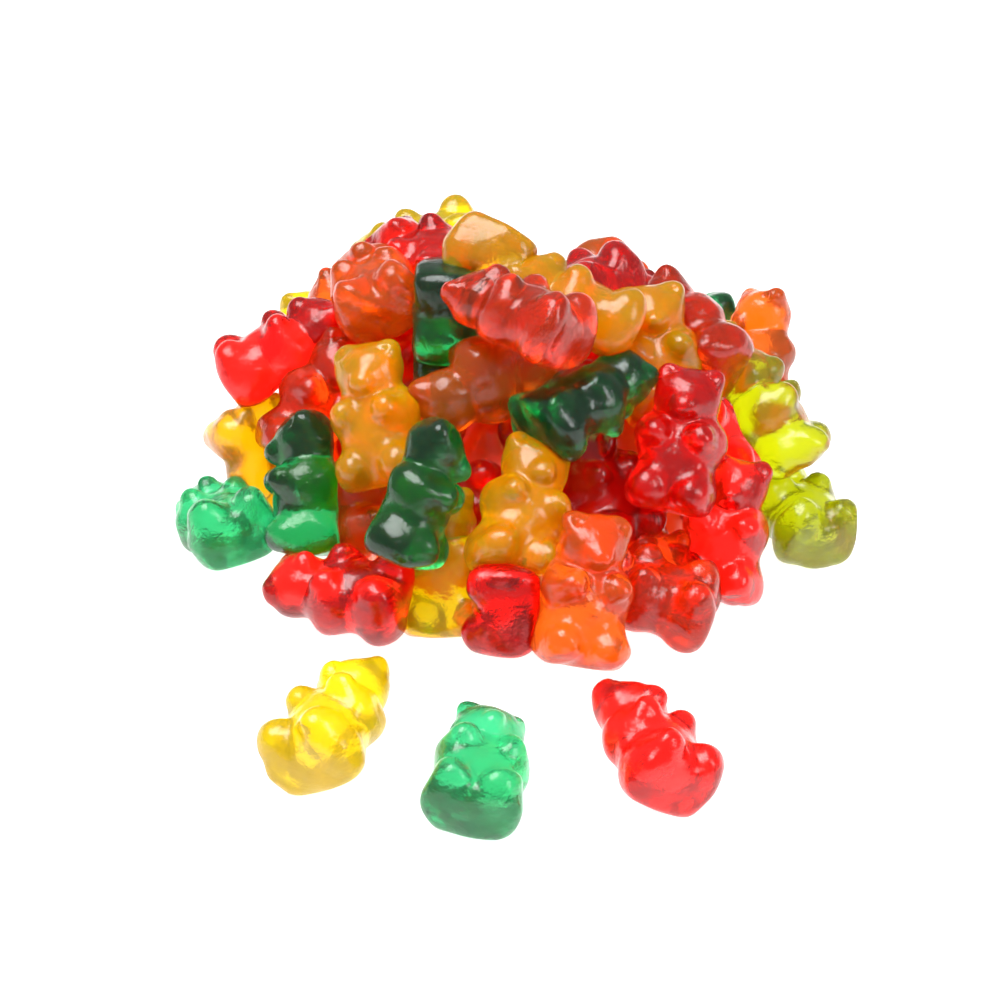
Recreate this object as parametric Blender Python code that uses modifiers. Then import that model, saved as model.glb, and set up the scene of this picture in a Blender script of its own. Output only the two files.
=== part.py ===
"""A heap of jelly bears on a bare table, with three more bears lying in front of it.

Metres, +Z up, the table at z = 0, the front towards -Y.
The heap is one solid: every bear of the heap and the dome they are piled round, grown together.
"""

import math
import random

import bmesh
import bpy
import numpy as np
from mathutils import Matrix, Vector

MM = 0.001

# One bear, moulded 21 mm tall; its own axes are x to its side, -y to its front, z to its head.
# The bears of the heap are a little smaller than the loose ones.
BEAR_MIDDLE = 10.8 * MM
SWELL = 1.012
HEAP_SIZE = 0.94

# The heap: a low dome, and the leaning board on which its front is laid out.
DOME_RADIUS = 46.0 * MM
DOME_HEIGHT = 39.0 * MM
CORE_RADIUS = 36.0 * MM
CORE_HEIGHT = 30.0 * MM
BOARD_LEAN = math.radians(34.0)
BASE_DEPTH = 3.0 * MM

# Coarseness of the solids.
HEAP_VOXEL = 0.85 * MM
BEAR_VOXEL = 0.5 * MM
HEAP_TRIANGLES = 7000
BEAR_TRIANGLES = 780

# Egg shapes that make up half a bear: centre x, y, z and radii x, y, z in mm; x > 0 is mirrored.
EGGS = (
    (0.0, 0.2, 7.4, 5.2, 4.8, 6.4),
    (0.0, 1.0, 3.2, 5.5, 4.2, 3.4),
    (0.0, 1.0, 11.2, 5.2, 3.9, 3.9),
    (0.0, 0.5, 16.6, 4.8, 4.3, 4.2),
    (0.0, -2.6, 15.3, 1.9, 2.9, 1.8),
    (3.5, 0.2, 3.6, 2.8, 4.4, 3.4),
    (3.2, -2.4, 3.2, 2.6, 3.7, 2.5),
    (3.7, 0.5, 10.6, 2.4, 3.9, 2.9),
    (3.3, -2.5, 10.9, 2.0, 3.1, 2.0),
    (3.2, -0.2, 19.3, 1.65, 1.7, 1.6),
)

# Balls that fill a bear, used to keep neighbours apart: centre x, y, z and radius in mm.
BALLS = (
    (0.0, 0.2, 16.6, 4.3),
    (2.2, 0.4, 11.2, 3.6),
    (-2.2, 0.4, 11.2, 3.6),
    (0.0, 0.0, 7.6, 4.4),
    (2.5, 0.3, 4.0, 3.6),
    (-2.5, 0.3, 4.0, 3.6),
    (3.3, -3.6, 3.6, 2.2),
    (-3.3, -3.6, 3.6, 2.2),
    (3.5, -3.6, 11.0, 1.7),
    (-3.5, -3.6, 11.0, 1.7),
    (0.0, -2.8, 15.4, 1.8),
    (3.0, -0.2, 19.6, 1.5),
    (-3.0, -0.2, 19.6, 1.5),
)

# Front of the heap: across and up the board (mm), depth under the dome's skin (mm),
# turn of the head to the left, lean of the head to the front, spin about the bear's length (degrees).
FRONT = (
    (-14.5, 34.6, 5, 102, 0, 60),
    (-12.6, 32.2, 5, 60, -42, 30),
    (-3.2, 29.8, 5, -150, -80, 60),
    (-19.0, 27.4, 5, 20, -60, 0),
    (-24.0, 21.6, 10, 15, -10, -90),
    (-31.4, 19.6, -3, -57, 0, -78),
    (-34.2, 1.6, 12, -155, -10, 150),
    (-18.3, 9.9, 6, 9, 0, -20),
    (-27.8, 1.0, 4, 3, 0, -82),
    (-40.2, -4.2, 4, 53, -65, 40),
    (-23.0, -13.0, 5, 79, -17, 50),
    (-12.2, -0.4, 5, -20, 0, 82),
    (-9.6, 21.2, 8, 178, -20, -90),
    (-0.4, 22.4, 2, 62, -30, 70),
    (-5.0, 14.4, 8, 120, 10, 150),
    (6.5, 25.0, 8, 62, 0, 85),
    (8.0, 27.4, 8, 87, -50, 60),
    (19.5, 18.5, 12, 10, 0, 0),
    (22.4, 21.6, 7, 35, -32, -35),
    (20.0, 21.4, 12, 30, 0, 40),
    (35.6, 20.6, 3, -5, 0, -60),
    (9.1, 11.4, 6, -61, -28, 108),
    (21.2, 6.6, 7, -10, 0, -10),
    (10.9, 1.6, 12, 20, 0, 40),
    (0.9, -2.5, 5, -14, -20, 15),
    (-2.0, -13.6, 5, 10, -78, -75),
    (8.5, -12.3, 5, -8, 0, 15),
    (18.6, -10.8, 13, 30, -45, 40),
    (27.0, -6.9, 4, -11, 0, -12),
    (34.2, 10.8, 2, 30, 0, 75),
    (38.4, -2.0, 3, 29, -50, 35),
    (-9.3, -10.6, 12, 2, 0, 160),
    (-25.8, 12.0, 12, -30, 0, 20),
    (-21.0, 0.0, 13, 10, 0, 120),
    (-15.0, 18.9, 13, 30, 0, 60),
    (-6.2, -1.4, 15, 60, 0, 10),
    (1.9, 14.2, 14, 80, 0, 70),
    (-0.1, 6.8, 11, 100, 0, -40),
    (-20.0, -4.9, 19, 15, 0, 60),
    (26.9, 9.5, 18, 30, 0, 60),
    (15.8, -12.8, 14, 70, 0, 60),
)

# Back of the heap: rings of radius (mm), count, how far round from the sides they start (degrees), height (mm).
BACK = ((35, 6, 50, 6), (24, 6, 44, 13), (12, 2, 62, 19))

# Inside the heap, on the table: radius (mm), count, height of the middle (mm).
INSIDE = (24, 6, 6.5)

# Loose bears, each leaning off its back onto one side: name, x, y and height of the middle (mm),
# heading of the head from +x, spin (degrees), colour.
LOOSE = (
    ("loose_bear_yellow", -22.6, -59.0, 5.9, 72, -32, (1.0, 0.75, 0.02)),
    ("loose_bear_green", -4.6, -66.0, 5.2, 82, 12, (0.03, 0.5, 0.18)),
    ("loose_bear_red", 15.4, -63.2, 6.1, 108, 36, (0.85, 0.04, 0.04)),
)
HEAP_COLOUR = (0.75, 0.1, 0.03)

ACROSS = np.array((1.0, 0.0, 0.0))
UP_BOARD = np.array((0.0, math.sin(BOARD_LEAN), math.cos(BOARD_LEAN)))
OUT = np.array((0.0, -math.cos(BOARD_LEAN), math.sin(BOARD_LEAN)))


def clear_scene():
    for found in list(bpy.data.objects):
        bpy.data.objects.remove(found)


def new_collection(name):
    made = bpy.data.collections.new(name)
    bpy.context.scene.collection.children.link(made)
    return made


def turned(axis, degrees):
    """Rotation by an angle about an axis, as a 3 x 3 array."""
    return np.array(Matrix.Rotation(math.radians(degrees), 3, Vector(axis)))


def board_frame(turn, lean, spin):
    """Axes of a bear that starts upright on the board, belly out."""
    upright = np.column_stack((ACROSS, -OUT, UP_BOARD))
    return turned(OUT, turn) @ turned(ACROSS, lean) @ turned(UP_BOARD, spin) @ upright


def table_frame(heading, spin):
    """Axes of a bear that lies on its back on the table."""
    angle = math.radians(heading)
    head = np.array((math.cos(angle), math.sin(angle), 0.0))
    down = np.array((0.0, 0.0, -1.0))
    return turned(head, spin) @ np.column_stack((np.cross(down, head), down, head))


def dome_out(across, up):
    """How far out from the board the dome's skin lies, or its nearest point where the line misses it."""
    sin = math.sin(BOARD_LEAN)
    cos = math.cos(BOARD_LEAN)
    bend = DOME_HEIGHT / DOME_RADIUS ** 2
    a = bend * cos * cos
    b = sin - 2 * bend * up * sin * cos
    c = up * cos - DOME_HEIGHT + bend * (across ** 2 + (up * sin) ** 2)
    inside = max(b * b - 4 * a * c, 0.0)
    return (math.sqrt(inside) - b) / (2 * a)


def front_places():
    places = []
    for across, up, depth, turn, lean, spin in FRONT:
        out = dome_out(across * MM, up * MM) - depth * MM
        middle = across * MM * ACROSS + up * MM * UP_BOARD + out * OUT
        places.append((middle, board_frame(turn, lean, spin), 1.0))
    return places


def hidden_places():
    """The bears at the back and inside, strewn by a seeded rule."""
    rng = random.Random(11)
    places = []
    spins = (-70, 0, 60, 130, 180)
    for radius, count, edge, height in BACK:
        for i in range(count):
            angle = math.radians(edge + (180 - 2 * edge) * i / (count - 1) + rng.uniform(-4, 4))
            x = radius * MM * math.cos(angle)
            y = radius * MM * math.sin(angle)
            frame = table_frame(rng.uniform(0, 360), rng.choice(spins))
            places.append((np.array((x, y, height * MM)), frame, 0.0))
    radius, count, height = INSIDE
    for i in range(count):
        angle = math.radians(360 * (i + 0.5) / count + rng.uniform(-6, 6))
        x = radius * MM * math.cos(angle)
        y = radius * MM * math.sin(angle) + 2 * MM
        frame = table_frame(rng.uniform(0, 360), rng.choice(spins))
        places.append((np.array((x, y, height * MM)), frame, 0.0))
    return places


def pushes(points, radii, owner, count):
    """Mean push on each bear from the balls of its neighbours that overlap its own."""
    apart = points[:, None] - points[None]
    distance = np.linalg.norm(apart, axis=2) + 1e-9
    overlap = radii[:, None] + radii[None] - distance
    overlap[owner[:, None] == owner[None]] = 0.0
    i, j = np.nonzero(overlap > 0)
    push = np.zeros((count, 3))
    hits = np.zeros(count)
    np.add.at(push, owner[i], apart[i, j] / distance[i, j][:, None] * overlap[i, j][:, None])
    np.add.at(hits, owner[i], 1.0)
    return push / np.maximum(hits, 1.0)[:, None]


def eased(places):
    """Ease overlapping bears apart; the front ones keep their place on the board."""
    start = np.array([place[0] for place in places]) / MM
    frames = np.array([place[1] for place in places])
    held = np.array([place[2] for place in places])[:, None]
    balls = np.array(BALLS) * HEAP_SIZE
    local = balls[:, :3] - np.array((0.0, 0.0, BEAR_MIDDLE / MM * HEAP_SIZE))
    offsets = np.einsum("nij,mj->nmi", frames, local)
    lowest = (offsets[:, :, 2] - balls[:, 3][None]).min(1)
    radii = np.tile(balls[:, 3], len(start))
    owner = np.repeat(np.arange(len(start)), len(balls))
    centres = start.copy()
    for _ in range(150):
        points = (offsets + centres[:, None]).reshape(-1, 3)
        step = pushes(points, radii, owner, len(start)) * 0.5
        in_board = step - (step @ OUT)[:, None] * OUT
        centres = centres + step - in_board * held * 0.6
        back = start - centres
        back_out = (back @ OUT)[:, None] * OUT
        centres = centres + (back - back_out) * 0.12 * held + back_out * 0.01
        free = 1.0 - held
        centres = centres - free * (centres * np.array((0.0008, 0.0008, 0.0)) + np.array((0.0, 0.0, 0.03)))
        centres[:, 2] = np.maximum(centres[:, 2], 0.2 - lowest)
    return [(centre * MM, frame) for centre, frame in zip(centres, frames)]


def placement(middle, frame, size=1.0):
    turned_frame = Matrix(frame.tolist()).to_4x4() @ Matrix.Scale(size, 4)
    return Matrix.Translation(Vector(middle)) @ turned_frame @ Matrix.Translation((0.0, 0.0, -BEAR_MIDDLE))


def bear_eggs(swell=SWELL):
    """The egg shapes of one bear in its own axes, as a mesh of closed shells."""
    bm = bmesh.new()
    for x, y, z, width, depth, height in EGGS:
        for side in (1, -1) if x > 0 else (1,):
            centre = Matrix.Translation(Vector((x * side, y, z)) * MM)
            shape = Matrix.Diagonal((*(Vector((width, depth, height)) * MM * swell), 1.0))
            bmesh.ops.create_uvsphere(bm, u_segments=16, v_segments=10, radius=1.0, matrix=centre @ shape)
    mesh = bpy.data.meshes.new("bear_eggs")
    bm.to_mesh(mesh)
    bm.free()
    return mesh


def add_bear(bm, eggs, matrix):
    placed = eggs.copy()
    placed.transform(matrix)
    bm.from_mesh(placed)
    bpy.data.meshes.remove(placed)


def add_dome(bm, radius, height, depth):
    """The core of the heap: half an egg, carried a little below the table."""
    shape = Matrix.Diagonal((radius, radius, height, 1.0))
    made = bmesh.ops.create_uvsphere(bm, u_segments=48, v_segments=24, radius=1.0, matrix=shape)
    for vertex in made["verts"]:
        vertex.co.z = max(vertex.co.z, -depth)


def mesh_object(bm, name, collection):
    mesh = bpy.data.meshes.new(name)
    bm.to_mesh(mesh)
    bm.free()
    made = bpy.data.objects.new(name, mesh)
    collection.objects.link(made)
    return made


def settle(target):
    """Make an object's modifiers part of its mesh."""
    graph = bpy.context.evaluated_depsgraph_get()
    mesh = bpy.data.meshes.new_from_object(target.evaluated_get(graph))
    target.modifiers.clear()
    target.data = mesh


def keep_outer_shell(target):
    """Keep the biggest closed shell and drop pockets and crumbs."""
    bm = bmesh.new()
    bm.from_mesh(target.data)
    left = set(bm.verts)
    shells = []
    while left:
        shell = {left.pop()}
        edge_of_search = list(shell)
        while edge_of_search:
            vertex = edge_of_search.pop()
            near = {e.other_vert(vertex) for e in vertex.link_edges} & left
            left -= near
            shell |= near
            edge_of_search.extend(near)
        shells.append(shell)
    biggest = max(shells, key=len)
    bmesh.ops.delete(bm, geom=[v for v in bm.verts if v not in biggest], context="VERTS")
    bm.to_mesh(target.data)
    bm.free()


def grow_together(target, voxel, triangles, passes):
    remesh = target.modifiers.new("grow", "REMESH")
    remesh.mode = "VOXEL"
    remesh.voxel_size = voxel
    soften = target.modifiers.new("soften", "SMOOTH")
    soften.factor = 0.5
    soften.iterations = passes
    settle(target)
    keep_outer_shell(target)
    thin = target.modifiers.new("thin", "DECIMATE")
    count = sum(len(face.vertices) - 2 for face in target.data.polygons)
    thin.ratio = min(1.0, triangles / count)
    thin.use_collapse_triangulate = True
    settle(target)


def cut_at_table(target, cutter):
    cut = target.modifiers.new("table_cut", "BOOLEAN")
    cut.operation = "DIFFERENCE"
    cut.solver = "EXACT"
    cut.object = cutter
    settle(target)
    keep_outer_shell(target)


def make_cutter(collection):
    """A block whose top is the table."""
    bm = bmesh.new()
    shape = Matrix.Translation((0.0, 0.0, -20 * MM)) @ Matrix.Diagonal((400 * MM, 400 * MM, 40 * MM, 1.0))
    bmesh.ops.create_cube(bm, size=1.0, matrix=shape)
    cutter = mesh_object(bm, "table_block", collection)
    cutter.hide_render = True
    cutter.display_type = "WIRE"
    return cutter


def finish(target, colour):
    material = bpy.data.materials.new(target.name)
    material.use_nodes = True
    surface = material.node_tree.nodes["Principled BSDF"]
    surface.inputs["Base Color"].default_value = (*colour, 1.0)
    surface.inputs["Roughness"].default_value = 0.2
    surface.inputs["Metallic"].default_value = 0.0
    target.data.materials.clear()
    target.data.materials.append(material)
    for face in target.data.polygons:
        face.use_smooth = True


def make_heap(collection, cutter):
    bm = bmesh.new()
    add_dome(bm, CORE_RADIUS, CORE_HEIGHT, BASE_DEPTH)
    eggs = bear_eggs()
    for middle, frame in eased(front_places() + hidden_places()):
        add_bear(bm, eggs, placement(middle, frame, HEAP_SIZE))
    heap = mesh_object(bm, "heap", collection)
    grow_together(heap, HEAP_VOXEL, HEAP_TRIANGLES, 2)
    cut_at_table(heap, cutter)
    finish(heap, HEAP_COLOUR)


def make_loose_bear(collection, cutter, name, x, y, height, heading, spin, colour):
    bm = bmesh.new()
    middle = np.array((x, y, height)) * MM
    add_bear(bm, bear_eggs(), placement(middle, table_frame(heading, spin)))
    bear = mesh_object(bm, name, collection)
    grow_together(bear, BEAR_VOXEL, BEAR_TRIANGLES, 3)
    cut_at_table(bear, cutter)
    finish(bear, colour)


def main():
    clear_scene()
    parts = new_collection("jelly_bears")
    cutters = new_collection("cutters")
    cutter = make_cutter(cutters)
    make_heap(parts, cutter)
    for row in LOOSE:
        make_loose_bear(parts, cutter, *row)


main()
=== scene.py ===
import math
import random

import bmesh
import bpy
import numpy as np
from mathutils import Matrix, Vector


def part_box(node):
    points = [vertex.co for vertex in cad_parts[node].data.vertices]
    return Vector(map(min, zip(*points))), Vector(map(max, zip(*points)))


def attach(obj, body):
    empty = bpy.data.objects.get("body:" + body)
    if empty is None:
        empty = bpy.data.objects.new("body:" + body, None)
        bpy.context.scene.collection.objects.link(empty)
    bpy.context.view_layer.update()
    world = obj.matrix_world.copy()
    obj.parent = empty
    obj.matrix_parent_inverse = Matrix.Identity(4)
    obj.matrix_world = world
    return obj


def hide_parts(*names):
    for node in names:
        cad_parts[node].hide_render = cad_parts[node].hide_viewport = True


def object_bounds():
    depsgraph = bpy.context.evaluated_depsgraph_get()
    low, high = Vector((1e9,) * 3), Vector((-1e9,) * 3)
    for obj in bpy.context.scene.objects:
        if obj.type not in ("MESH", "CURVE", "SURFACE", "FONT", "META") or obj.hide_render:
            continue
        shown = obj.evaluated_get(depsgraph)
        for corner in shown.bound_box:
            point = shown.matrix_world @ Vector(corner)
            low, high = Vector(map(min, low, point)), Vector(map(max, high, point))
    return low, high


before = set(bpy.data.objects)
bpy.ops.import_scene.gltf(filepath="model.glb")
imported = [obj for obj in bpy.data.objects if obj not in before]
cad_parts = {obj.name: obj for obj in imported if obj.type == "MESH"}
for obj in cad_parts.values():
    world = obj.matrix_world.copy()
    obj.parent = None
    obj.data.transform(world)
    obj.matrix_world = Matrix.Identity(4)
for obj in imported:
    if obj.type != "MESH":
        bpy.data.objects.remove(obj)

bl_info = {
    "name": "Heap of jelly bears",
    "version": (1, 0, 0),
    "blender": (4, 5, 0),
    "location": "3D Viewport > Sidebar > Jelly bears",
    "description": "Builds a heap of clear jelly bears, the loose ones in front of it and a plain stage",
    "category": "Object",
}

MM = 0.001
CAD_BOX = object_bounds()
HEAP_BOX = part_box("heap")
LOOSE_NODES = sorted(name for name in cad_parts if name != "heap")

# One bear: its own axes are x to its side, -y to its front, z to its head; lengths in mm.
# It is flat at its back and its soles, and no point of it is further than the reach from its middle.
# BEAR_LOW and BEAR_HIGH are the corners of a box round it.
BEAR_MIDDLE = 10.8
BEAR_REACH = 14.5
BEAR_LOW = np.array((-7.5, -7.5, -1.0))
BEAR_HIGH = np.array((7.5, 6.0, 22.5))
BACK_PLANE = 4.6
SOLE_PLANE = 0.35

# The bears of the heap are a little smaller than the loose ones.
HEAP_SIZE = 0.94

# Lumps that the gridded skin of a bear is first wrapped round: centre and radii in mm; x > 0 is mirrored.
LUMPS = (
    ((0, 0.2, 7.4), (5.2, 4.8, 6.4)),
    ((0, 1.0, 3.0), (5.5, 4.2, 3.4)),
    ((0, 1.0, 11.2), (5.2, 3.9, 3.9)),
    ((0, 0.5, 16.6), (4.8, 4.3, 4.2)),
    ((0, -2.6, 15.3), (1.9, 2.9, 1.8)),
    ((3.5, -0.6, 3.4), (2.8, 5.2, 3.3)),
    ((3.5, -1.0, 10.8), (2.3, 4.4, 2.5)),
    ((3.2, -0.2, 19.3), (1.7, 1.7, 1.6)),
)

# How the skin is drawn onto the bear: passes, how far each evens the grid, the steps in each,
# the longest step (mm), and the least slope that a step is divided by.
SKIN_PASSES = 3
SKIN_EVENING = 0.6
SKIN_STEPS = 4
SKIN_STEP = 0.6
LEAST_SLOPE = 0.2

# Balls that fill a bear, used to keep neighbours apart: centre x, y, z and radius in mm.
BALLS = (
    (0.0, 0.2, 16.6, 4.3),
    (2.2, 0.4, 11.2, 3.6),
    (-2.2, 0.4, 11.2, 3.6),
    (0.0, 0.0, 7.6, 4.4),
    (2.5, 0.3, 4.0, 3.6),
    (-2.5, 0.3, 4.0, 3.6),
    (3.3, -3.6, 3.6, 2.2),
    (-3.3, -3.6, 3.6, 2.2),
    (3.5, -3.6, 11.0, 1.7),
    (-3.5, -3.6, 11.0, 1.7),
    (0.0, -2.8, 15.4, 1.8),
    (3.0, -0.2, 19.6, 1.5),
    (-3.0, -0.2, 19.6, 1.5),
)

# The dome the heap is piled on, and the leaning board on which its front is laid out, in mm.
DOME_RADIUS = 46.0
DOME_HEIGHT = 39.0
BOARD_LEAN = math.radians(34.0)

# Front of the heap: jelly, across and up the board (mm), depth under the dome's skin (mm),
# turn of the head to the left, lean of the head to the front, spin about the bear's length (degrees).
FRONT = (
    ("yellow", -14.5, 34.6, 5, 102, 0, 60),
    ("red", -12.6, 32.2, 5, 60, -42, 30),
    ("amber", -3.2, 29.8, 5, -150, -80, 60),
    ("orange", -19.0, 27.4, 5, 20, -60, 0),
    ("orange", -24.0, 21.6, 10, 15, -10, -90),
    ("red", -31.4, 19.6, -3, -57, 0, -78),
    ("amber", -34.2, 1.6, 12, -155, -10, 150),
    ("amber", -18.3, 9.9, 6, 9, 0, -20),
    ("green", -27.8, 1.0, 4, 3, 0, -82),
    # The paler copy of the green jelly, painted light for this bear at the heap's open edge.
    ("emerald", -40.2, -4.2, 4, 53, -65, 40),
    ("red", -23.0, -13.0, 5, 79, -17, 50),
    ("green", -12.2, -0.4, 5, -20, 0, 82),
    ("green", -9.6, 21.2, 8, 178, -20, -90),
    ("ruby", -0.4, 22.4, 2, 62, -30, 70),
    ("orange", -5.0, 14.4, 8, 120, 10, 150),
    ("amber", 6.5, 25.0, 8, 62, 0, 85),
    ("red", 8.0, 27.4, 8, 87, -50, 60),
    ("amber", 19.5, 18.5, 12, 10, 0, 0),
    ("ruby", 22.4, 21.6, 7, 35, -32, -35),
    ("red", 20.0, 21.4, 12, 30, 0, 40),
    ("orange", 35.6, 20.6, 3, -5, 0, -60),
    ("green", 9.1, 11.4, 6, -61, -28, 108),
    ("red", 21.2, 6.6, 7, -10, 0, -10),
    ("red", 10.9, 1.6, 12, 20, 0, 40),
    ("amber", 0.9, -2.5, 5, -14, -20, 15),
    ("red", -2.0, -13.6, 5, 10, -78, -75),
    ("orange", 8.5, -12.3, 5, -8, 0, 15),
    ("ruby", 18.6, -10.8, 13, 30, -45, 40),
    ("red", 27.0, -6.9, 4, -11, 0, -12),
    ("lime", 34.2, 10.8, 2, 30, 0, 75),
    ("lime", 38.4, -2.0, 3, 29, -50, 35),
    ("yellow", -9.3, -10.6, 12, 2, 0, 160),
    ("ruby", -25.8, 12.0, 12, -30, 0, 20),
    ("red", -21.0, 0.0, 13, 10, 0, 120),
    ("red", -15.0, 18.9, 13, 30, 0, 60),
    ("red", -6.2, -1.4, 15, 60, 0, 10),
    ("red", 1.9, 14.2, 14, 80, 0, 70),
    ("red", -0.1, 6.8, 11, 100, 0, -40),
    ("orange", -20.0, -4.9, 19, 15, 0, 60),
    ("red", 26.9, 9.5, 18, 30, 0, 60),
    ("ruby", 15.8, -12.8, 14, 70, 0, 60),
)

# Back of the heap, in rings: radius (mm), count, how far round from the sides (degrees), height (mm).
# Each bear's place on its ring is out by up to BACK_SLACK degrees.
BACK = ((35, 6, 50, 6), (24, 6, 44, 13), (12, 2, 62, 19))
BACK_SLACK = 4

# One more ring inside the heap, on the table: radius (mm), count, height and shift back (mm).
INSIDE = (24, 6, 6.5, 2)
INSIDE_SLACK = 6

# The hidden bears: seeds for their places and their colours, spins (degrees), and jellies to draw from.
PLACE_SEED = 11
COLOUR_SEED = 5
SPINS = (-70, 0, 60, 130, 180)
STREWN = ("red", "orange", "amber", "yellow", "green", "red", "ruby", "lime")

# Easing overlapping bears apart: rounds, the share of each push taken, how firmly the front bears keep their
# places, how the others gather inwards and sink in each round (share, mm), and the gap over the table (mm).
EASE_ROUNDS = 150
EASE_SHARE = 0.5
BOARD_GRIP = 0.6
BOARD_RETURN = 0.12
OUT_RETURN = 0.01
GATHER = np.array((0.0008, 0.0008, 0.0))
SINK = np.array((0.0, 0.0, 0.03))
TABLE_GAP = 0.2

# Each bear's own unevenness: swells and their lengths (mm), how much it bends sideways and forwards (mm),
# where along it the bend changes sides, and how much it twists (degrees); then each group's first seed.
SWELLS = 6
SWELL_LENGTHS = (3.2, 7.5)
SWELL_SHARE = 0.6
SIDE_BEND = 0.5
FRONT_BEND = 0.35
BEND_TURN = 0.4
TWIST = 7
HEAP_SEED = 100
LOOSE_SEED = 40

# Flat spots where bears press on each other: gap left (mm), share that each yields, and the most (mm).
PRESS_GAP = 0.06
PRESS_SHARE = 0.5
PRESS_MOST = 2.4

# The core: radii, shift back and height over the table in metres, then its lumps: waves along each axis
# (radians per metre) and the share that they rise.
CORE_RADII = (0.027, 0.025, 0.023)
CORE_BACK = 0.002
CORE_FOOT = 0.0006
CORE_WAVES = (420, 390, 450)
CORE_LUMPS = 0.08

# How clear each jelly is, and how deep its colour.
CLEARNESS = {
    "red": (0.94, 0.9),
    "ruby": (0.9, 0.9),
    "orange": (0.8, 0.8),
    "amber": (0.74, 0.8),
    "yellow": (0.74, 0.8),
    # The two greens are one jelly: the deeper, denser copy is painted shade for the bears inside the heap,
    # and the paler, cloudier copy is painted light for the bears in the open.
    "green": (0.975, 1.2),
    "emerald": (0.93, 0.55),
    "lime": (0.86, 0.8),
}

# Patterns in the jelly: scale (per metre) and detail.
CLOUD = (210.0, 3.0)
SKIN = (520.0, 2.0)
GRAIN = (2600.0, 2.0)

# Loose bears, each leaning off its back onto one side: jelly, heading of the head from +x, spin (degrees).
LOOSE = {
    "loose_bear_yellow": ("yellow", 72, -32),
    # The green one takes the paler copy of the green jelly, as painted light.
    "loose_bear_green": ("emerald", 82, 12),
    "loose_bear_red": ("red", 108, 36),
}

ACROSS = np.array((1.0, 0.0, 0.0))
UP_BOARD = np.array((0.0, math.sin(BOARD_LEAN), math.cos(BOARD_LEAN)))
OUT = np.array((0.0, -math.cos(BOARD_LEAN), math.sin(BOARD_LEAN)))

# The stage, in metres: half the floor's side, and what the camera looks at, across and up the board.
FLOOR_HALF = 3.0
AIM = (-0.0023, -0.0014)

# Soft boxes: name, place, what each faces, width and height in metres, and its share of the set power.
SOFT_BOXES = (
    ("key", (-0.12, -0.05, 0.55), (0.0, -0.01, 0.0), (0.42, 0.36), 1.0),
    ("side", (0.45, -0.30, 0.35), (0.0, 0.0, 0.01), (0.12, 0.30), 0.25),
)


# ---------------------------------------------------------------- user settings


def colour_setting(name, description, value):
    return bpy.props.FloatVectorProperty(
        name=name, description=description, default=value, size=3, min=0.0, max=1.0, subtype="COLOR"
    )


class JellySettings(bpy.types.PropertyGroup):
    """Shape and finish of the bears."""

    red: colour_setting("Red", "Colour of the red jelly", (0.98, 0.022, 0.01))
    ruby: colour_setting("Ruby", "Colour of the red-orange jelly", (1.0, 0.12, 0.008))
    orange: colour_setting("Orange", "Colour of the orange jelly", (1.0, 0.22, 0.008))
    amber: colour_setting("Amber", "Colour of the amber jelly", (1.0, 0.6, 0.002))
    yellow: colour_setting("Yellow", "Colour of the yellow jelly", (1.0, 0.79, 0.002))
    # Green and the paler green below are one jelly: the deeper colour is painted shade for the bears inside
    # the heap, the paler one painted light for the bears in the open.
    green: colour_setting("Green", "Colour of the green jelly", (0.035, 0.58, 0.22))
    emerald: colour_setting("Emerald", "Colour of the paler green jelly", (0.07, 0.66, 0.3))
    lime: colour_setting("Lime", "Colour of the yellow-green jelly", (0.68, 0.73, 0.006))
    core: colour_setting("Core", "Colour deep inside the heap", (0.9, 0.03, 0.01))
    strength: bpy.props.FloatProperty(
        name="Colour strength",
        description="How fast the jelly soaks up light, per metre",
        default=110.0,
        min=0.0,
    )
    fine: bpy.props.FloatProperty(
        name="Detail", description="Grid size of the bears in mm", default=0.56, min=0.3, max=1.5
    )
    coarse: bpy.props.FloatProperty(
        name="Hidden detail",
        description="Grid size of the bears at the back and inside in mm",
        default=0.8,
        min=0.3,
        max=1.5,
    )
    ripple: bpy.props.FloatProperty(
        name="Unevenness", description="Height of the soft dents in mm", default=0.2, min=0.0, max=0.6
    )
    roughness: bpy.props.FloatProperty(
        name="Roughness", description="How dull the jelly is", default=0.2, min=0.0, max=1.0, subtype="FACTOR"
    )


class StageSettings(bpy.types.PropertyGroup):
    """Floor, light and camera."""

    floor: colour_setting("Floor", "Colour of the floor", (0.5, 0.5, 0.5))
    glow: bpy.props.FloatProperty(
        name="Floor glow", description="Light the floor gives off, like a light table", default=1.0, min=0.0
    )
    sky: bpy.props.FloatProperty(
        name="Surrounding light", description="Strength of the even white light", default=0.38, min=0.0
    )
    key: bpy.props.FloatProperty(
        name="Soft box", description="Power of the large light overhead", default=4.5, min=0.0, unit="POWER"
    )
    distance: bpy.props.FloatProperty(
        name="Camera distance",
        description="From the heap to the camera",
        default=0.36,
        min=0.1,
        unit="LENGTH",
    )
    lens: bpy.props.FloatProperty(
        name="Lens", description="Focal length in mm", default=90.7, min=20.0, unit="CAMERA"
    )


def jelly():
    return bpy.context.scene.jelly_bears


def stage_settings():
    return bpy.context.scene.jelly_stage


# ---------------------------------------------------------------- shape of a bear


def egg(points, centre, radii):
    """Distance from an egg shape."""
    near = (points - np.array(centre)) / np.array(radii)
    length = np.linalg.norm(near, axis=1)
    slope = np.linalg.norm(near / np.array(radii), axis=1)
    return length * (length - 1.0) / np.maximum(slope, 1e-6)


def limb(points, start, end, start_radius, end_radius):
    """Distance from a tapering round-ended rod."""
    start = np.array(start)
    along = np.array(end) - start
    part = np.clip(((points - start) @ along) / (along @ along), 0.0, 1.0)
    reach = np.linalg.norm(points - start - part[:, None] * along, axis=1)
    return reach - (start_radius + (end_radius - start_radius) * part)


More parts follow.
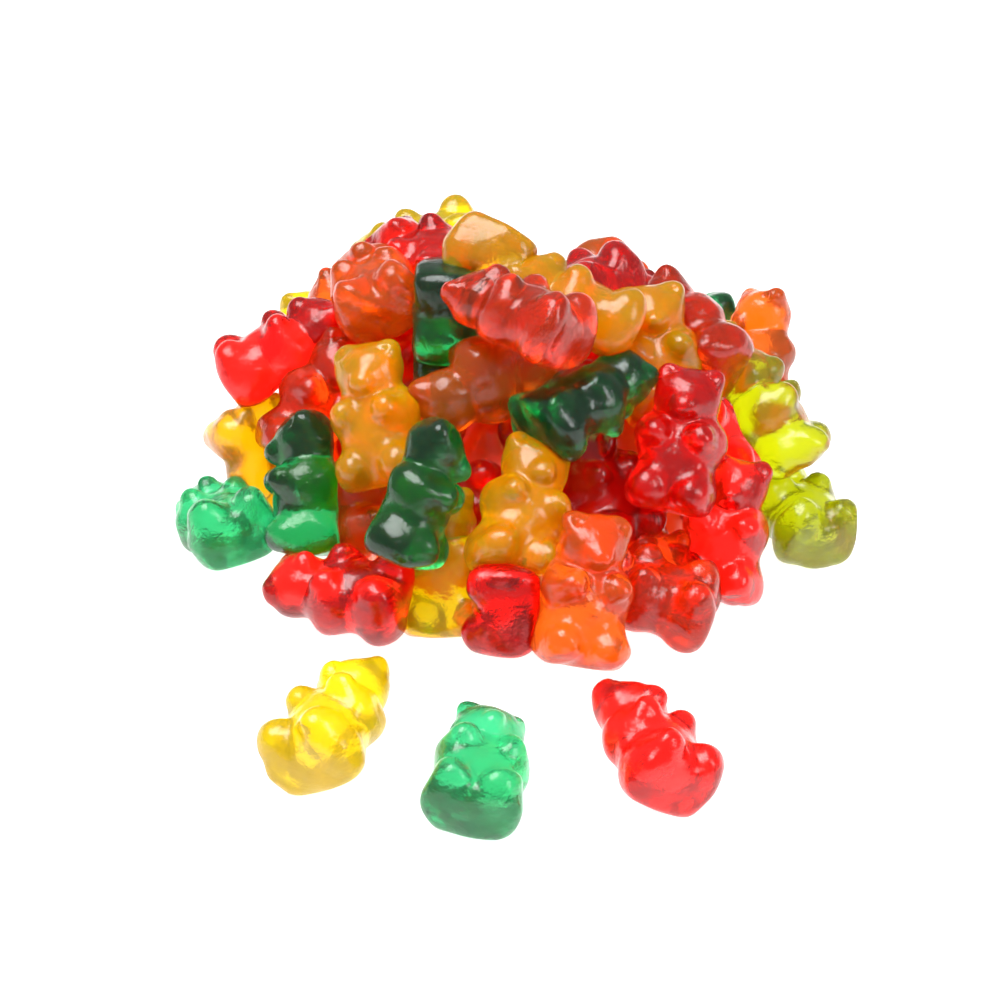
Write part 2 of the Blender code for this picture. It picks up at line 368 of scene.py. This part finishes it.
def joined(distances, softness):
    """Shapes grown together with a soft fillet."""
    stacked = np.stack(distances)
    nearest = stacked.min(0)
    return nearest - softness * np.log(np.exp(-(stacked - nearest) / softness).sum(0))


def trimmed(distance, cutter, softness):
    """What is left of a shape where the cutter's distance is negative, with a softened edge."""
    return -joined([-distance, -cutter], softness)


def bear_distance(points):
    """Distance from a bear's skin, negative inside, with both halves alike."""
    p = np.column_stack((np.abs(points[:, 0]), points[:, 1], points[:, 2]))
    trunk = joined(
        [
            egg(p, (0, 0.2, 7.4), (5.2, 4.8, 6.4)),
            egg(p, (0, 1.0, 2.9), (5.4, 4.2, 3.4)),
            egg(p, (0, 1.0, 11.2), (5.1, 3.9, 3.8)),
            egg(p, (0, 0.5, 16.6), (4.7, 4.3, 4.1)),
        ],
        0.7,
    )
    body = joined(
        [
            trunk,
            egg(p, (3.5, 0.2, 3.4), (2.7, 4.4, 3.4)),
            limb(p, (3.2, -1.2, 3.0), (3.3, -3.6, 3.4), 2.7, 2.3),
            egg(p, (3.7, 0.5, 10.6), (2.3, 3.8, 2.8)),
            limb(p, (3.5, -0.8, 10.4), (3.2, -3.7, 11.2), 2.2, 1.75),
            limb(p, (0, -1.6, 15.6), (0, -3.8, 15.2), 2.6, 1.5),
            egg(p, (3.2, -0.2, 19.3), (1.55, 1.6, 1.5)),
        ],
        0.62,
    )
    body = trimmed(body, -egg(p, (3.25, -2.1, 19.6), (0.7, 0.7, 0.7)), 0.25)
    body = trimmed(body, p[:, 1] - BACK_PLANE, 0.45)
    return trimmed(body, SOLE_PLANE - p[:, 2], 0.35)


def slope_of(distance, points, step=0.02):
    """How fast a distance grows along each axis."""
    sides = []
    for axis in np.eye(3) * step:
        sides.append((distance(points + axis) - distance(points - axis)) / (2 * step))
    return np.stack(sides, 1)


def rough_block(grid):
    """A gridded skin that wraps the bear loosely."""
    bm = bmesh.new()
    for (x, y, z), radii in LUMPS:
        sides = (x, -x) if x else (x,)
        for side in sides:
            place = Matrix.Translation((side, y, z)) @ Matrix.Diagonal((*radii, 1.0))
            bmesh.ops.create_uvsphere(bm, u_segments=24, v_segments=16, radius=1.0, matrix=place)
    mesh = bpy.data.meshes.new("block")
    bm.to_mesh(mesh)
    bm.free()
    block = bpy.data.objects.new("block", mesh)
    bpy.context.scene.collection.objects.link(block)
    wrap = block.modifiers.new("wrap", "REMESH")
    wrap.mode = "VOXEL"
    wrap.voxel_size = grid
    graph = bpy.context.evaluated_depsgraph_get()
    wrapped = bpy.data.meshes.new_from_object(block.evaluated_get(graph))
    bpy.data.objects.remove(block)
    return wrapped


def bear_skin(grid):
    """Points (mm) and faces of one bear, drawn tight onto its shape."""
    mesh = rough_block(grid)
    count = len(mesh.vertices)
    points = np.empty(count * 3)
    mesh.vertices.foreach_get("co", points)
    points = points.reshape(-1, 3)
    edges = np.empty(len(mesh.edges) * 2, int)
    mesh.edges.foreach_get("vertices", edges)
    edges = edges.reshape(-1, 2)
    valence = np.bincount(edges.ravel(), minlength=count)[:, None]
    for _ in range(SKIN_PASSES):
        around = np.zeros_like(points)
        np.add.at(around, edges[:, 0], points[edges[:, 1]])
        np.add.at(around, edges[:, 1], points[edges[:, 0]])
        points = points + SKIN_EVENING * (around / valence - points)
        for _ in range(SKIN_STEPS):
            slope = slope_of(bear_distance, points)
            steepness = np.maximum((slope * slope).sum(1), LEAST_SLOPE)
            gap = np.clip(bear_distance(points), -SKIN_STEP, SKIN_STEP)
            points = points - slope * (gap / steepness)[:, None]
    faces = [tuple(face.vertices) for face in mesh.polygons]
    bpy.data.meshes.remove(mesh)
    return points, faces


# ---------------------------------------------------------------- where the bears lie


def turned(axis, degrees):
    """Rotation by an angle about an axis, as a 3 x 3 array."""
    return np.array(Matrix.Rotation(math.radians(degrees), 3, Vector(axis)))


def board_frame(turn, lean, spin):
    """Axes of a bear that starts upright on the board, belly out."""
    upright = np.column_stack((ACROSS, -OUT, UP_BOARD))
    return turned(OUT, turn) @ turned(ACROSS, lean) @ turned(UP_BOARD, spin) @ upright


def table_frame(heading, spin):
    """Axes of a bear that lies on its back on the table."""
    angle = math.radians(heading)
    head = np.array((math.cos(angle), math.sin(angle), 0.0))
    down = np.array((0.0, 0.0, -1.0))
    return turned(head, spin) @ np.column_stack((np.cross(down, head), down, head))


def dome_out(across, up):
    """How far out from the board the dome's skin lies, or comes nearest where the line misses it."""
    sin = math.sin(BOARD_LEAN)
    cos = math.cos(BOARD_LEAN)
    bend = DOME_HEIGHT / DOME_RADIUS ** 2
    a = bend * cos * cos
    b = sin - 2 * bend * up * sin * cos
    c = up * cos - DOME_HEIGHT + bend * (across ** 2 + (up * sin) ** 2)
    inside = max(b * b - 4 * a * c, 0.0)
    return (math.sqrt(inside) - b) / (2 * a)


def front_places():
    """The bears seen from the front: jelly, middle, axes, and 1 for a bear that keeps its place."""
    places = []
    for colour, across, up, depth, turn, lean, spin in FRONT:
        out = dome_out(across, up) - depth
        middle = across * ACROSS + up * UP_BOARD + out * OUT
        places.append((colour, middle, board_frame(turn, lean, spin), 1.0))
    return places


def hidden_places():
    """The bears at the back and inside, strewn by a seeded rule."""
    rng = random.Random(PLACE_SEED)
    dye = random.Random(COLOUR_SEED)
    places = []
    for radius, count, edge, height in BACK:
        for i in range(count):
            slack = rng.uniform(-BACK_SLACK, BACK_SLACK)
            angle = math.radians(edge + (180 - 2 * edge) * i / (count - 1) + slack)
            bear = table_frame(rng.uniform(0, 360), rng.choice(SPINS))
            middle = np.array((radius * math.cos(angle), radius * math.sin(angle), height))
            places.append((dye.choice(STREWN), middle, bear, 0.0))
    radius, count, height, shift = INSIDE
    for i in range(count):
        angle = math.radians(360 * (i + 0.5) / count + rng.uniform(-INSIDE_SLACK, INSIDE_SLACK))
        bear = table_frame(rng.uniform(0, 360), rng.choice(SPINS))
        middle = np.array((radius * math.cos(angle), radius * math.sin(angle) + shift, height))
        places.append((dye.choice(STREWN), middle, bear, 0.0))
    return places


def pushes(points, radii, owner, count):
    """Mean push on each bear from the balls of its neighbours that overlap its own."""
    apart = points[:, None] - points[None]
    distance = np.linalg.norm(apart, axis=2) + 1e-9
    overlap = radii[:, None] + radii[None] - distance
    overlap[owner[:, None] == owner[None]] = 0.0
    i, j = np.nonzero(overlap > 0)
    push = np.zeros((count, 3))
    hits = np.zeros(count)
    np.add.at(push, owner[i], apart[i, j] / distance[i, j][:, None] * overlap[i, j][:, None])
    np.add.at(hits, owner[i], 1.0)
    return push / np.maximum(hits, 1.0)[:, None]


def eased(places):
    """Middles of the bears once overlapping ones are eased apart; the front ones keep their places."""
    start = np.array([place[1] for place in places])
    frames = np.array([place[2] for place in places])
    held = np.array([place[3] for place in places])[:, None]
    balls = np.array(BALLS) * HEAP_SIZE
    local = balls[:, :3] - np.array((0.0, 0.0, BEAR_MIDDLE * HEAP_SIZE))
    offsets = np.einsum("nij,mj->nmi", frames, local)
    lowest = (offsets[:, :, 2] - balls[:, 3][None]).min(1)
    radii = np.tile(balls[:, 3], len(start))
    owner = np.repeat(np.arange(len(start)), len(balls))
    centres = start.copy()
    for _ in range(EASE_ROUNDS):
        points = (offsets + centres[:, None]).reshape(-1, 3)
        step = pushes(points, radii, owner, len(start)) * EASE_SHARE
        in_board = step - (step @ OUT)[:, None] * OUT
        centres = centres + step - in_board * held * BOARD_GRIP
        back = start - centres
        back_out = (back @ OUT)[:, None] * OUT
        centres = centres + (back - back_out) * BOARD_RETURN * held + back_out * OUT_RETURN
        centres = centres - (1.0 - held) * (centres * GATHER + SINK)
        centres[:, 2] = np.maximum(centres[:, 2], TABLE_GAP - lowest)
    return centres


# ---------------------------------------------------------------- soft jelly


def own_shape(points, seed, height):
    """One bear's own unevenness: slow swells over its skin, a slight bend and a slight twist."""
    rng = random.Random(seed)
    moved = points.copy()
    for _ in range(SWELLS):
        direction = np.array([rng.gauss(0, 1) for _ in range(3)])
        direction /= np.linalg.norm(direction)
        wave = direction * 2 * math.pi / rng.uniform(*SWELL_LENGTHS)
        push = np.array([rng.gauss(0, 1) for _ in range(3)])
        push /= np.linalg.norm(push)
        phase = rng.uniform(0, 6.28)
        moved += np.sin(points @ wave + phase)[:, None] * push * height * SWELL_SHARE
    up = (points[:, 2] - BEAR_MIDDLE) / BEAR_MIDDLE
    bend = up ** 2 - BEND_TURN
    moved[:, 0] += rng.uniform(-SIDE_BEND, SIDE_BEND) * bend
    moved[:, 1] += rng.uniform(-FRONT_BEND, FRONT_BEND) * bend
    angle = np.radians(rng.uniform(-TWIST, TWIST)) * up
    x = moved[:, 0] * np.cos(angle) - moved[:, 1] * np.sin(angle)
    y = moved[:, 0] * np.sin(angle) + moved[:, 1] * np.cos(angle)
    return np.column_stack((x, y, moved[:, 2]))


def pressed(skins, middles, frames):
    """Give neighbouring bears flat spots where they press on each other."""
    result = [skin.copy() for skin in skins]
    for i, skin in enumerate(skins):
        for j in range(len(skins)):
            if i == j or np.linalg.norm(middles[i] - middles[j]) > 2 * BEAR_REACH:
                continue
            local = (skin - middles[j]) @ frames[j] / HEAP_SIZE + np.array((0.0, 0.0, BEAR_MIDDLE))
            close = np.nonzero(((local > BEAR_LOW) & (local < BEAR_HIGH)).all(1))[0]
            if not len(close):
                continue
            depth = PRESS_GAP - bear_distance(local[close])
            hit = close[depth > 0]
            if not len(hit):
                continue
            slope = slope_of(bear_distance, local[hit])
            slope /= np.maximum(np.linalg.norm(slope, axis=1), 1e-6)[:, None]
            yield_by = np.minimum(depth[depth > 0] * PRESS_SHARE, PRESS_MOST)
            result[i][hit] += (slope * yield_by[:, None]) @ frames[j].T
    return result


# ---------------------------------------------------------------- meshes


def joined_mesh(name, skins, face_lists):
    """One mesh out of several skins, in metres."""
    start = 0
    faces = []
    for skin, face_list in zip(skins, face_lists):
        faces.extend(tuple(corner + start for corner in face) for face in face_list)
        start += len(skin)
    mesh = bpy.data.meshes.new(name)
    mesh.from_pydata((np.concatenate(skins) * MM).tolist(), [], faces)
    mesh.update()
    mesh.shade_smooth()
    return mesh


def box_mm(node, margin=0.03):
    """Lowest and highest corners of a CAD node in mm, drawn in by a hair."""
    low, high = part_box(node)
    return np.array(low) / MM + margin, np.array(high) / MM - margin


def add_piece(name, mesh, material, node, slot):
    piece = bpy.data.objects.new(name, mesh)
    bpy.context.scene.collection.objects.link(piece)
    mesh.materials.append(material)
    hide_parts(node)
    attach(piece, "root")


def core_mesh():
    """A smaller mound deep inside the heap."""
    bm = bmesh.new()
    low, high = HEAP_BOX
    middle = Vector(((low[0] + high[0]) / 2, (low[1] + high[1]) / 2 + CORE_BACK, CORE_FOOT))
    shape = Matrix.Translation(middle) @ Matrix.Diagonal((*CORE_RADII, 1.0))
    made = bmesh.ops.create_uvsphere(bm, u_segments=96, v_segments=48, radius=1.0, matrix=shape)
    for vertex in made["verts"]:
        vertex.co.z = max(vertex.co.z, middle.z)
        lump = 1.0
        for phase, (at, wave) in enumerate(zip(vertex.co, CORE_WAVES)):
            lump *= math.sin(at * wave + phase)
        if vertex.co.z > middle.z:
            vertex.co += (vertex.co - middle) * CORE_LUMPS * lump
    bmesh.ops.remove_doubles(bm, verts=bm.verts, dist=1e-5)
    bmesh.ops.recalc_face_normals(bm, faces=bm.faces)
    mesh = bpy.data.meshes.new("core")
    bm.to_mesh(mesh)
    bm.free()
    mesh.shade_smooth()
    return mesh


# ---------------------------------------------------------------- materials


class Value:
    """A number that varies over the surface, with arithmetic that adds Math nodes."""

    def __init__(self, tree, socket):
        self.tree = tree
        self.socket = socket

    def math(self, operation, first, second):
        made = self.tree.nodes.new("ShaderNodeMath")
        made.operation = operation
        for place, value in enumerate((first, second)):
            if isinstance(value, Value):
                self.tree.links.new(value.socket, made.inputs[place])
            else:
                made.inputs[place].default_value = value
        return Value(self.tree, made.outputs[0])

    def __add__(self, other):
        return self.math("ADD", self, other)

    def __radd__(self, other):
        return self.math("ADD", other, self)

    def __mul__(self, other):
        return self.math("MULTIPLY", self, other)

    def __rmul__(self, other):
        return self.math("MULTIPLY", other, self)


# Sockets of a Mix node that blends colours.
MIX_AMOUNT = 0
MIX_FIRST = 6
MIX_SECOND = 7
MIX_RESULT = 2


class Finish:
    """A material being made, node by node."""

    def __init__(self, name):
        self.material = bpy.data.materials.new(name)
        self.material.use_nodes = True
        self.tree = self.material.node_tree
        self.tree.nodes.clear()

    def node(self, kind, settings=None, inputs=None):
        """A node of that type; its settings are set first, then its sockets' values or links."""
        made = self.tree.nodes.new(kind)
        for name, value in (settings or {}).items():
            setattr(made, name, value)
        for name, value in (inputs or {}).items():
            target = made.inputs[name]
            if isinstance(value, Value):
                self.tree.links.new(value.socket, target)
            elif isinstance(value, bpy.types.NodeSocket):
                self.tree.links.new(value, target)
            else:
                target.default_value = value
        return made

    def noise(self, where, scale, detail):
        """A value that drifts over the surface."""
        made = self.node(
            "ShaderNodeTexNoise",
            inputs={"Vector": where, "Scale": scale, "Detail": detail, "Roughness": 0.5},
        )
        return Value(self.tree, made.outputs["Fac"])

    def blend(self, amount, first, second):
        """A colour between two others."""
        made = self.node(
            "ShaderNodeMix",
            {"data_type": "RGBA"},
            {MIX_AMOUNT: amount, MIX_FIRST: (*first, 1.0), MIX_SECOND: (*second, 1.0)},
        )
        return made.outputs[MIX_RESULT]


def jelly_finish(name, colour, clearness, strength):
    """Clear coloured jelly with a moist, faintly uneven skin."""
    make = Finish(name)
    where = make.node("ShaderNodeTexCoord").outputs["Object"]
    cloud = make.noise(where, *CLOUD)
    skin = make.noise(where, *SKIN)
    grain = make.noise(where, *GRAIN)
    pale = tuple(channel ** 0.9 for channel in colour)
    deep = tuple(channel ** 1.15 for channel in colour)
    relief = skin * 0.8 + grain * 0.2
    bump = make.node(
        "ShaderNodeBump", inputs={"Strength": 0.55, "Distance": 0.0005, "Height": relief}
    )
    surface = make.node(
        "ShaderNodeBsdfPrincipled",
        inputs={
            "Base Color": make.blend(cloud, pale, deep),
            "Roughness": cloud * 0.1 + (jelly().roughness - 0.05),
            "IOR": 1.42,
            "Transmission Weight": clearness,
            "Coat Weight": 0.2,
            "Coat Roughness": 0.16,
            "Normal": bump.outputs["Normal"],
        },
    )
    through = tuple(channel ** 0.5 for channel in colour)
    volume = make.node(
        "ShaderNodeVolumeAbsorption", inputs={"Color": (*through, 1.0), "Density": strength}
    )
    make.node(
        "ShaderNodeOutputMaterial",
        inputs={"Surface": surface.outputs["BSDF"], "Volume": volume.outputs["Volume"]},
    )
    return make.material


def core_finish():
    """Dense jelly where hardly any light gets in."""
    make = Finish("core_jelly")
    where = make.node("ShaderNodeTexCoord").outputs["Object"]
    patches = make.noise(where, 120.0, 2.0)
    deep = tuple(jelly().core)
    bright = (min(1.0, deep[0] * 1.3), deep[1] * 3.0, deep[2])
    surface = make.node(
        "ShaderNodeBsdfPrincipled",
        inputs={
            "Base Color": make.blend(patches, deep, bright),
            "Roughness": patches * 0.1 + 0.2,
            "IOR": 1.46,
        },
    )
    make.node("ShaderNodeOutputMaterial", inputs={"Surface": surface.outputs["BSDF"]})
    return make.material


def jelly_material(colour):
    """The material of one jelly, made once."""
    name = "clear_" + colour
    found = bpy.data.materials.get(name)
    clearness, depth = CLEARNESS[colour]
    tint = tuple(getattr(jelly(), colour))
    return found or jelly_finish(name, tint, clearness, depth * jelly().strength)


def jelly_slot(colour):
    """The record's slot for a jelly: ruby is a kind of red, and the paler green is the same green jelly made
    paler as painted light.
    """
    return {"ruby": "red", "emerald": "green"}.get(colour, colour) + "_jelly"


def floor_finish():
    """A pale floor that glows evenly, like a light table."""
    make = Finish("plain_floor")
    where = make.node("ShaderNodeTexCoord").outputs["Object"]
    colour = tuple(stage_settings().floor)
    paler = tuple(min(1.0, channel * 1.01) for channel in colour)
    tone = make.noise(where, 3.0, 1.0)
    surface = make.node(
        "ShaderNodeBsdfPrincipled",
        inputs={
            "Base Color": make.blend(tone, colour, paler),
            "Roughness": 0.6,
            "Specular IOR Level": 0.2,
            "Emission Color": (1.0, 1.0, 1.0, 1.0),
            "Emission Strength": stage_settings().glow,
        },
    )
    make.node("ShaderNodeOutputMaterial", inputs={"Surface": surface.outputs["BSDF"]})
    return make.material


# ---------------------------------------------------------------- stage


def add_floor():
    bm = bmesh.new()
    bmesh.ops.create_grid(bm, x_segments=1, y_segments=1, size=FLOOR_HALF)
    mesh = bpy.data.meshes.new("floor")
    bm.to_mesh(mesh)
    bm.free()
    mesh.materials.append(floor_finish())
    floor = bpy.data.objects.new("floor", mesh)
    floor.location.z = CAD_BOX[0][2]
    bpy.context.scene.collection.objects.link(floor)


def set_sky(strength):
    world = bpy.data.worlds.new("even_light")
    world.use_nodes = True
    sky = world.node_tree.nodes["Background"]
    sky.inputs["Color"].default_value = (1.0, 1.0, 1.0, 1.0)
    sky.inputs["Strength"].default_value = strength
    bpy.context.scene.world = world


def add_soft_box(name, place, target, size, power):
    light = bpy.data.lights.new(name, "AREA")
    light.shape = "RECTANGLE"
    light.size = size[0]
    light.size_y = size[1]
    light.energy = power
    lamp = bpy.data.objects.new(name, light)
    lamp.location = place
    lamp.rotation_euler = (Vector(target) - Vector(place)).to_track_quat("-Z", "Y").to_euler()
    bpy.context.scene.collection.objects.link(lamp)


def add_camera(lens, distance):
    """A camera that looks straight at the leaning board."""
    target = Vector(ACROSS) * AIM[0] + Vector(UP_BOARD) * AIM[1]
    camera_data = bpy.data.cameras.new("camera")
    camera_data.lens = lens
    camera_data.sensor_width = 36.0
    camera_data.clip_start = 0.01
    camera = bpy.data.objects.new("camera", camera_data)
    camera.location = target + Vector(OUT) * distance
    camera.rotation_euler = (-Vector(OUT)).to_track_quat("-Z", "Y").to_euler()
    bpy.context.scene.collection.objects.link(camera)
    bpy.context.scene.camera = camera


def set_light_paths(scene):
    """Plain colours, bounces enough for light to pass through several bears, and limits on noise."""
    scene.view_settings.view_transform = "Standard"
    scene.cycles.max_bounces = 12
    scene.cycles.transmission_bounces = 12
    scene.cycles.glossy_bounces = 6
    scene.cycles.diffuse_bounces = 4
    scene.cycles.transparent_max_bounces = 8
    scene.cycles.caustics_refractive = True
    scene.cycles.caustics_reflective = False
    scene.cycles.blur_glossy = 0.5
    scene.cycles.adaptive_threshold = 0.08
    scene.cycles.sample_clamp_indirect = 6.0


# ---------------------------------------------------------------- operators


class JELLY_OT_heap(bpy.types.Operator):
    """Build the heap: one piece for each jelly, over a small core"""

    bl_idname = "jelly_bears.heap"
    bl_label = "Heap"

    def execute(self, context):
        places = front_places() + hidden_places()
        middles = eased(places)
        frames = [place[2] for place in places]
        fine = bear_skin(jelly().fine)
        coarse = bear_skin(jelly().coarse)
        skins = []
        faces = []
        for i, place in enumerate(places):
            points, face_list = fine if place[3] else coarse
            own = own_shape(points, HEAP_SEED + i, jelly().ripple) - np.array((0.0, 0.0, BEAR_MIDDLE))
            skins.append(own * HEAP_SIZE @ frames[i].T + middles[i])
            faces.append(face_list)
        skins = pressed(skins, middles, frames)
        low, high = box_mm("heap")
        skins = [np.clip(skin, low, high) for skin in skins]
        for colour in sorted({place[0] for place in places}):
            chosen = [i for i, place in enumerate(places) if place[0] == colour]
            name = colour + "_bears"
            mesh = joined_mesh(name, [skins[i] for i in chosen], [faces[i] for i in chosen])
            add_piece(name, mesh, jelly_material(colour), "heap", jelly_slot(colour))
        add_piece("heap_core", core_mesh(), core_finish(), "heap", "heap")
        return {"FINISHED"}


class JELLY_OT_loose(bpy.types.Operator):
    """Build the loose bears that lie in front of the heap"""

    bl_idname = "jelly_bears.loose"
    bl_label = "Loose bears"

    def execute(self, context):
        points, face_list = bear_skin(jelly().fine)
        for i, node in enumerate(LOOSE_NODES):
            colour, heading, spin = LOOSE[node]
            own = own_shape(points, LOOSE_SEED + i, jelly().ripple)
            skin = own @ table_frame(heading, spin).T
            low, high = box_mm(node)
            skin = skin * min(1.0, ((high - low) / np.ptp(skin, axis=0)).min())
            skin = skin + (low + high) / 2 - (skin.min(0) + skin.max(0)) / 2
            skin[:, 2] += low[2] - skin[:, 2].min()
            mesh = joined_mesh(node + "_skin", [skin], [face_list])
            add_piece(node + "_jelly", mesh, jelly_material(colour), node, jelly_slot(colour))
        return {"FINISHED"}


class JELLY_OT_stage(bpy.types.Operator):
    """Set the plain floor, the soft light and the camera"""

    bl_idname = "jelly_bears.stage"
    bl_label = "Stage"

    def execute(self, context):
        settings = stage_settings()
        add_floor()
        set_sky(settings.sky)
        for name, place, target, size, share in SOFT_BOXES:
            add_soft_box(name, place, target, size, settings.key * share)
        add_camera(settings.lens, settings.distance)
        set_light_paths(context.scene)
        return {"FINISHED"}


class JELLY_PT_panel(bpy.types.Panel):
    """The heap's settings and the buttons that build it"""

    bl_idname = "JELLY_PT_panel"
    bl_label = "Jelly bears"
    bl_space_type = "VIEW_3D"
    bl_region_type = "UI"
    bl_category = "Jelly bears"

    def draw(self, context):
        column = self.layout.column()
        for name in JellySettings.__annotations__:
            column.prop(context.scene.jelly_bears, name)
        for name in StageSettings.__annotations__:
            column.prop(context.scene.jelly_stage, name)
        for operator in OPERATORS:
            column.operator(operator.bl_idname)


OPERATORS = (JELLY_OT_heap, JELLY_OT_loose, JELLY_OT_stage)
CLASSES = (JellySettings, StageSettings, *OPERATORS, JELLY_PT_panel)


def register():
    for found in CLASSES:
        bpy.utils.register_class(found)
    bpy.types.Scene.jelly_bears = bpy.props.PointerProperty(type=JellySettings)
    bpy.types.Scene.jelly_stage = bpy.props.PointerProperty(type=StageSettings)


def unregister():
    del bpy.types.Scene.jelly_stage
    del bpy.types.Scene.jelly_bears
    for found in reversed(CLASSES):
        bpy.utils.unregister_class(found)


def main():
    register()
    bpy.ops.jelly_bears.heap()
    bpy.ops.jelly_bears.loose()
    bpy.ops.jelly_bears.stage()


if __name__ == "__main__":
    main()
